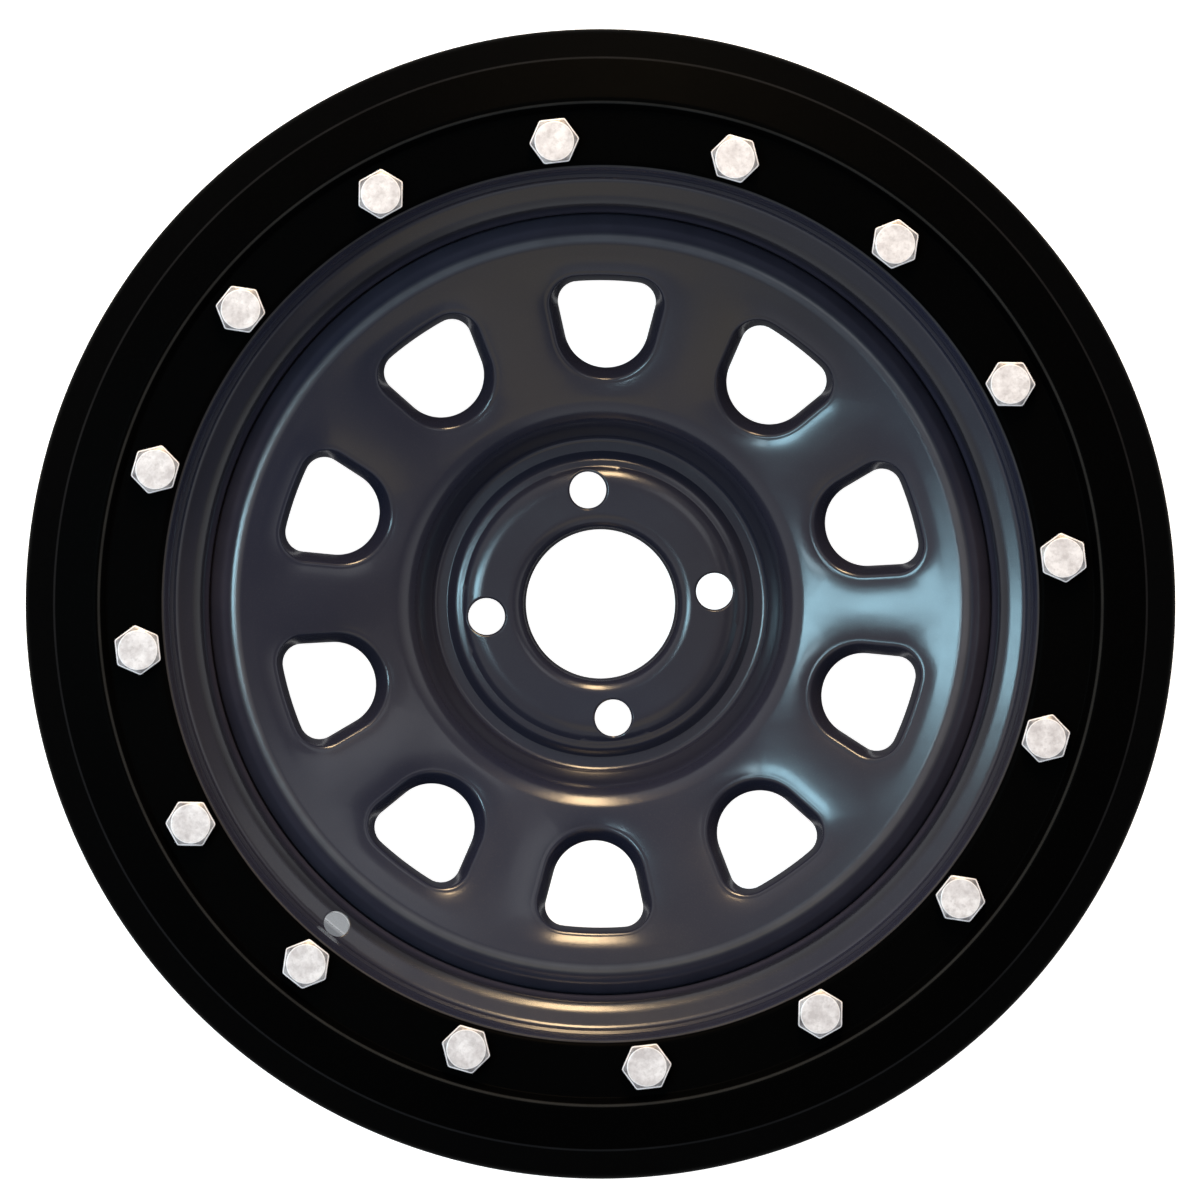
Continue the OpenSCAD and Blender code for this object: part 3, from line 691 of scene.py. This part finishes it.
# Rows that hold an edge, the chamfer of the lip's cut end, and the lip's foot on the rear
HOLD, LIP_CHAMFER = 0.5, 0.15
FOOT_H, FOOT_RISE, FOOT_W = 0.8, 0.25, 1.3
end, under = WINDOW_LIP_H, DISC_T + FOOT_H
window_rings = [(edge_centre + HOLD, "front", 0.0), (edge_centre, "plane", 0.0)]
for share in TURN_SHARES:
    a = math.pi / 2 + (lean - math.pi / 2) * share
    window_rings.append((edge_centre - WINDOW_EDGE_R * math.cos(a), "plane",
                         -WINDOW_EDGE_R * (1 - math.sin(a))))
window_rings += [
    (lip(end - HOLD), "plane", HOLD - end),
    (lip(end - LIP_CHAMFER) + LIP_CHAMFER, "plane", LIP_CHAMFER - end),
    (HOLD, "plane", -end),
    (lip(end, DISC_T) - HOLD, "plane", -end),
    (lip(end - LIP_CHAMFER, DISC_T) - LIP_CHAMFER, "plane", LIP_CHAMFER - end),
    (lip(end - HOLD, DISC_T), "plane", HOLD - end),
    (lip(under, DISC_T), "plane", -under),
    (lip(under, DISC_T) + HOLD, "plane", -DISC_T - FOOT_RISE),
    (lip(under, DISC_T) + FOOT_W, "rear", 0.0)]
WINDOW_SINK, WINDOW_FADE = 1.1, 7.5
window = Hole(WINDOW_MID_R, window_z, BAND_ANGLE, window_circles, window_rings,
              sink=WINDOW_SINK, fade=WINDOW_FADE)
bolt_hole = Hole(HUB_PCD / 2, PAD_MID_Z + DISC_T / 2, 0.0, full_circle(HUB_BOLT_D / 2), [
    (HUB_CHAMFER + 0.15, "front", 0.0), (HUB_CHAMFER - 0.1, "front", -0.08),
    (0.1, "front", 0.08 - HUB_CHAMFER), (0.0, "front", -HUB_CHAMFER - 0.15),
    (0.0, "rear", 0.4), (0.12, "rear", 0.12), (0.4, "rear", 0.0)])
# Inner and outer radius and half the columns of the fields round the holes. The outer end of the
# first lies on the pad's step, a little below the step's inner corner.
PAD_FIELD, PAD_FIELD_HALF, PAD_FIELD_DROP = (40.6, 60.9), 10, 0.2
BAND_FIELD, BAND_FIELD_HALF = (89.5, 151.0), 12
disc = sheet_piece(DISC_PATH, DISC_T, WHEEL_COLUMNS, HUB_BOLT_ANGLE, [
    ((PAD_FIELD[0], PAD_MID_Z), (PAD_FIELD[1], PAD_STEP_Z - PAD_FIELD_DROP),
     bolt_hole, spread(HUB_BOLT_ANGLE, HUB_BOLTS), PAD_FIELD_HALF),
    ((BAND_FIELD[0], band_height(BAND_FIELD[0])), (BAND_FIELD[1], band_height(BAND_FIELD[1])),
     window, spread(WINDOW_ANGLE, WINDOWS), BAND_FIELD_HALF)])
disc.piece("disc_pressing", "wheel_disc", "disc_paint", gloss)

# ---- Mounting ring and simulator ring, with their bolt holes
# From the mounting ring's edges, the simulator ring's inner edge and its step to the fields
MOUNT_FIELD_IN, RING_FIELD_IN, STEP_FIELD_IN, RING_FIELD_HALF = 1.2, 4.4, 2.4, 4
bolt_angles = spread(BOLT_ANGLE, BOLTS, -1)


def plain_hole(radius, height):
    return Hole(RING_BOLT_R, height, 0.0, full_circle(radius), [
        (0.3, "front", 0.0), (0.0, "front", -0.3), (0.0, "rear", 0.3), (0.3, "rear", 0.0)])


mount = sheet_piece(MOUNT_PATH, MOUNT_T, RING_COLUMNS, BOLT_ANGLE, [
    ((MOUNT_INNER_R + MOUNT_FIELD_IN, MOUNT_MID_Z), (MOUNT_OUTER_R - MOUNT_FIELD_IN, MOUNT_MID_Z),
     plain_hole(BOLT_D / 2 + THREAD_GAP, MOUNT_FRONT_Z), bolt_angles, RING_FIELD_HALF)])
mount.piece("mounting_plate", "mounting_ring", "mount_coat", mount_coat)
ring = sheet_piece(RING_PATH, RING_T, RING_COLUMNS, BOLT_ANGLE, [
    ((RING_INNER_R + RING_FIELD_IN, RING_MID_Z), (STEP_R - STEP_FIELD_IN, RING_MID_Z),
     plain_hole(BOLT_D / 2 + SHANK_GAP, RING_FRONT_Z), bolt_angles, RING_FIELD_HALF)])
ring.piece("simulator_shell", "simulator_ring", "ring_coat", ring_coat)

# ---- Ring bolts
# The head's flat top and washer face as shares of its flats, its corners' rounding,
# and the washer face's height and chamfer
TOP_SHARE, WASHER_SHARE, CORNER_CUT, WASHER_H, WASHER_CHAMFER = 0.89, 0.95, 0.18, 0.6, 0.12
# Rings round the hexagon from the top down: growth with drop under the chamfer's cone,
# then growth with height
CHAMFER_RINGS = [(-0.6, -0.32), (-0.25, -0.08), (-0.06, 0.08), (0.0, 0.3)]
SIDE_RINGS = [(0.0, 0.95), (-0.08, 0.72), (-0.3, 0.62)]
# Index of a head's last ring of each finish: its top, the top's rim, chamfer and outline
TOP_RING, RIM_RING, CHAMFER_RING, OUTLINE_RING = 3, 5, 6, 9
# A bolt's materials: the lit top, painted shade on the chamfer and sides, and painted highlight on
# the top's rim and the outline
TOP, SIDE, PAINTED_HIGHLIGHT = 0, 1, 2


def bolt_points():
    """Rings of one bolt from its head's top to the end of its thread, and the shank's length."""
    flats = BOLT_FLATS / 2
    top_r, washer_r = flats * TOP_SHARE, flats * WASHER_SHARE
    around = [math.radians(a) for a in range(0, 360, BOLT_CUT)]
    corner_r = flats / math.cos(math.radians(30)) - CORNER_CUT
    hexagon = []
    for a in around:
        from_flat = (math.degrees(a) % 60) - 30
        hexagon.append(min(flats / math.cos(math.radians(from_flat)), corner_r))

    def circle(r, z):
        return [(r * math.cos(a), r * math.sin(a), z) for a in around]

    def on_hexagon(grow, z_of):
        return [((r + grow) * math.cos(a), (r + grow) * math.sin(a), z_of(r))
                for a, r in zip(around, hexagon)]

    def under_chamfer(drop):
        return lambda r: BOLT_HEAD_H - max(0.0, r - top_r) * tan(30) - drop

    rings = [circle(r, BOLT_HEAD_H) for r in (2.5, 5.0, top_r - 0.9, top_r - 0.35)]
    rings += [circle(top_r - 0.1, BOLT_HEAD_H - 0.03), circle(top_r + 0.15, BOLT_HEAD_H - 0.13)]
    rings += [on_hexagon(grow, under_chamfer(drop)) for grow, drop in CHAMFER_RINGS]
    rings += [on_hexagon(grow, lambda r: height) for grow, height in SIDE_RINGS]
    rings += [circle(washer_r, WASHER_H), circle(washer_r, WASHER_CHAMFER),
              circle(washer_r - WASHER_CHAMFER, 0.0)]
    shank, shank_r = RING_T + MOUNT_T - BOLT_SHORT, BOLT_D / 2
    rings += [circle(shank_r + BOLT_FILLET, 0.0), circle(shank_r, -BOLT_FILLET),
              circle(shank_r, BOLT_END_CHAMFER - shank), circle(shank_r - BOLT_END_CHAMFER, -shank)]
    return rings, shank


def placed(points, direction, turn):
    """Points of a bolt turned about its own axis and moved to its place, with angles in radians."""
    x, y = RING_BOLT_R * math.cos(direction), RING_BOLT_R * math.sin(direction)
    c, s = math.cos(turn), math.sin(turn)
    return [(x + px * c - py * s, y + px * s + py * c, RING_FRONT_Z + pz) for px, py, pz in points]


bolt_rings, shank_end = bolt_points()
strips = [(0, TOP_RING, TOP), (TOP_RING, RIM_RING, PAINTED_HIGHLIGHT), (RIM_RING, CHAMFER_RING, SIDE),
          (CHAMFER_RING, OUTLINE_RING, PAINTED_HIGHLIGHT), (OUTLINE_RING, len(bolt_rings) - 1, SIDE)]
bolts = Skin()
for direction, turn in zip(bolt_angles, spread(BOLT_TURN, BOLTS, -1)):
    at = (math.radians(direction), math.radians(turn))
    for start, stop, finish in strips:
        bolts.grid([placed(r, *at) for r in bolt_rings[start:stop + 1]], finish=finish)
    bolts.fan(placed(bolt_rings[0], *at), placed([(0, 0, BOLT_HEAD_H)], *at)[0], TOP)
    bolts.fan(placed(bolt_rings[-1], *at), placed([(0, 0, -shank_end)], *at)[0], SIDE)
bolts.piece("bolt_set", "ring_bolts", "bolt_zinc", zinc, side_zinc, edge_zinc)

# ---- Weld beads
# A bead's section as shares of its leg, inwards and down from the corner that it fills
BEAD = [(0.0, 0.0), (0.0, 0.5), (0.0, 0.92), (0.06, 1.0), (0.22, 0.93), (0.42, 0.76), (0.58, 0.60),
        (0.74, 0.42), (0.92, 0.20), (1.0, 0.06), (0.94, 0.0), (0.5, 0.0)]
# A ripple's depth, and how far the ripples drift along a run, in ripples
RIPPLE_DEPTH, RIPPLE_POWER, RIPPLE_DRIFT, RIPPLE_TURNS = 0.10, 0.6, 0.13, 7
# Length of a run's rounded end in legs, and the size of its last row
RUN_END, LAST_SIZE = 0.8, 0.03


def beads(corner, leg, count, share, pitch):
    """Runs of a fillet weld in the inner corner at a radius and height."""
    skin = Skin()
    run = 360 / count * share
    length = math.radians(run) * corner[0]
    steps = max(RUN_ROWS, int(length / pitch * RIPPLE_ROWS))
    for k in range(count):
        rows = []
        for i in range(steps + 1):
            t = i / steps
            drift = RIPPLE_DRIFT * math.sin(RIPPLE_TURNS * t * math.pi + k)
            wave = (t * length / pitch + drift) % 1.0
            swell = 1 - RIPPLE_DEPTH + RIPPLE_DEPTH * (1 - wave) ** RIPPLE_POWER
            from_end = min(1.0, min(t, 1 - t) * length / leg / RUN_END)
            taper = math.sqrt(max(0.0, 1 - (1 - from_end) ** 2)) * (1 - LAST_SIZE) + LAST_SIZE
            a = math.radians(360 / count * k - run / 2 + run * t)
            row = []
            for r, z in BEAD:
                # The ripples don't reach the faces that the bead lies against
                free = min(1.0, (r + z) * 2)
                size = leg * taper * (1 - free * (1 - swell))
                at = corner[0] - r * size
                row.append((at * math.cos(a), at * math.sin(a), corner[1] - z * size))
            rows.append(row)
        skin.grid(rows)
        for row in (rows[0], rows[-1]):
            skin.fan(row, tuple(sum(c) / len(row) for c in zip(*row)))
    return skin


beads((WELL_R - RIM_T / 2 - WELD_GAP, SKIRT_END_Z - WELD_GAP),
      DISC_WELD, DISC_WELDS, DISC_WELD_SHARE, DISC_RIPPLE).piece(
    "disc_beads", "disc_welds", "weld_paint", weld_coat)
beads((FLANGE_OUT_R - RIM_T - WELD_GAP, RIM_FRONT_Z - WELD_GAP),
      MOUNT_WELD, MOUNT_WELDS, MOUNT_WELD_SHARE, MOUNT_RIPPLE).piece(
    "mount_beads", "mounting_ring_welds", "weld_paint", weld_coat)

# ---- Floor, in metres: one part round the wheel and one under it
FLOOR_R, FLOOR_Z, FLOOR_SIDES = 30.0, -0.0005, 96
UNDER_R = 0.168
floor_material, floor_tree, floor_shader = new_material("pale_floor")
floor_place = node(floor_tree, "ShaderNodeTexCoord").outputs["Object"]
floor_tint = mixed(floor_tree, noise(floor_tree, floor_place, 3.0),
                   (0.80, 0.80, 0.80), (0.82, 0.82, 0.82))
floor_tree.links.new(floor_tint, floor_shader.inputs["Base Color"])
floor_shader.inputs["Roughness"].default_value = 0.9
floor_shader.inputs["Emission Color"].default_value = (1, 1, 1, 1)
floor_shader.inputs["Emission Strength"].default_value = 1.0


def floor_part(name, inner, outer):
    """A flat ring of floor round the axle line, or a disc where inner is 0."""
    count = FLOOR_SIDES
    around = [2 * math.pi * k / count for k in range(count)]
    points = [(r * math.cos(a), r * math.sin(a), 0) for r in (outer, inner) for a in around]
    if inner:
        faces = [(k, (k + 1) % count, count + (k + 1) % count, count + k) for k in range(count)]
    else:
        points, faces = points[:count], [tuple(range(count))]
    mesh = bpy.data.meshes.new(name)
    mesh.from_pydata(points, [], faces)
    mesh.materials.append(floor_material)
    part = bpy.data.objects.new(name, mesh)
    bpy.context.scene.collection.objects.link(part)
    part.location.z = FLOOR_Z
    return part


floor_part("floor", UNDER_R, FLOOR_R)
# The part under the wheel is hidden from bounced light, so that only the camera sees it
under_wheel = floor_part("floor_under_wheel", 0.0, UNDER_R)
under_wheel.visible_diffuse = False
under_wheel.visible_glossy = False

# ---- Studio: brightness at the horizon and overhead, and changes of it with the direction,
# each as two ends on an axis and the factors there
WALL_GLOW, CEILING_GLOW = 0.95, 0.32
HORIZON_TO_TOP = (0.25, 1.0)
FAR_TO_NEAR = (-0.6, 0.6, 0.88, 1.12)
INTO_DIM_WALL, OUT_OF_DIM_WALL = (0.28, 0.44, 1.0, 0.35), (0.62, 0.82, 0.35, 1.0)
BELOW_TO_HORIZON = (-0.08, 0.02, 0.12, 1.0)
world = bpy.data.worlds.new("studio")
world.use_nodes = True
bpy.context.scene.world = world
sky = world.node_tree
backdrop = sky.nodes["Background"]
heading = node(sky, "ShaderNodeSeparateXYZ", {
    "Vector": node(sky, "ShaderNodeTexCoord").outputs["Generated"]}).outputs
low_to_high = ramp(sky, heading["Z"], *HORIZON_TO_TOP)
far_to_near = ramp(sky, heading["Y"], *FAR_TO_NEAR)
sky.links.new(mixed(sky, low_to_high, (0.93, 0.96, 1.0), (1.0, 0.96, 0.95)),
              backdrop.inputs["Color"])
bright = ramp(sky, low_to_high, 0.0, 1.0, WALL_GLOW, CEILING_GLOW)
level = combined(sky, "MULTIPLY", bright, far_to_near)
# A dim wall on the right
into, out_of = (ramp(sky, heading["X"], *ends) for ends in (INTO_DIM_WALL, OUT_OF_DIM_WALL))
level = combined(sky, "MULTIPLY", level, combined(sky, "MAXIMUM", into, out_of))
above = ramp(sky, heading["Z"], *BELOW_TO_HORIZON)
sky.links.new(combined(sky, "MULTIPLY", level, above), backdrop.inputs["Strength"])

# ---- Lights
# Height of the point that the lights face, in metres
AIM_Z = 0.15
# Name, direction round the axle line and angle off it in degrees, distance, width and height in
# metres, radiance and colour
LIGHTS = [
    ("window_light", 174, 26.5, 2.4, 0.62, 0.36, 18.5, (0.47, 0.83, 1.0)),
    ("window_sill", 174, 14, 2.4, 0.16, 0.40, 16.0, (0.60, 0.87, 1.0)),
    ("far_window", 45, 28, 2.4, 0.80, 0.70, 0.9, (0.93, 0.97, 1.0)),
    ("warm_wall", -80, 28, 2.4, 0.90, 1.20, 0.32, (1.0, 0.74, 0.14)),
    ("lamp", 86, 55, 2.0, 0.95, 0.34, 33.0, (1.0, 0.71, 0.40)),
]
for name, direction, off_axis, distance, width, height, radiance, colour in LIGHTS:
    data = bpy.data.lights.new(name, "AREA")
    data.shape, data.size, data.size_y = "RECTANGLE", width, height
    data.energy = radiance * math.pi * width * height
    data.color = colour
    light = bpy.data.objects.new(name, data)
    bpy.context.scene.collection.objects.link(light)
    a, e = math.radians(direction), math.radians(off_axis)
    back = (math.sin(e) * math.cos(a), math.sin(e) * math.sin(a), math.cos(e))
    light.location = [c * distance for c in back]
    light.location.z += AIM_Z
    light.rotation_euler = (0, e, a)
    light.visible_camera = False

# ---- Camera: a very long lens, for a view without perspective
FRAME_PX, MM_PER_PX, SENSOR, LENS = 1200, 0.4337, 36, 1000
# The wheel's centre lies this far off the frame's, in pixels
OFF_X_PX, OFF_Y_PX = -0.5, 3.9
# Height at which the scale holds and the clipping distances, in metres
SHARP_Z, CLIP_START, CLIP_END = 0.2, 1.0, 60.0
camera_data = bpy.data.cameras.new("camera")
camera_data.lens, camera_data.sensor_width = LENS, SENSOR
camera_data.clip_start, camera_data.clip_end = CLIP_START, CLIP_END
camera = bpy.data.objects.new("camera", camera_data)
bpy.context.scene.collection.objects.link(camera)
far = FRAME_PX * MM_PER_PX * MM * LENS / SENSOR
camera.location = (OFF_X_PX * MM_PER_PX * MM, OFF_Y_PX * MM_PER_PX * MM, SHARP_Z + far)
bpy.context.scene.camera = camera
bpy.context.scene.view_settings.view_transform = "Standard"
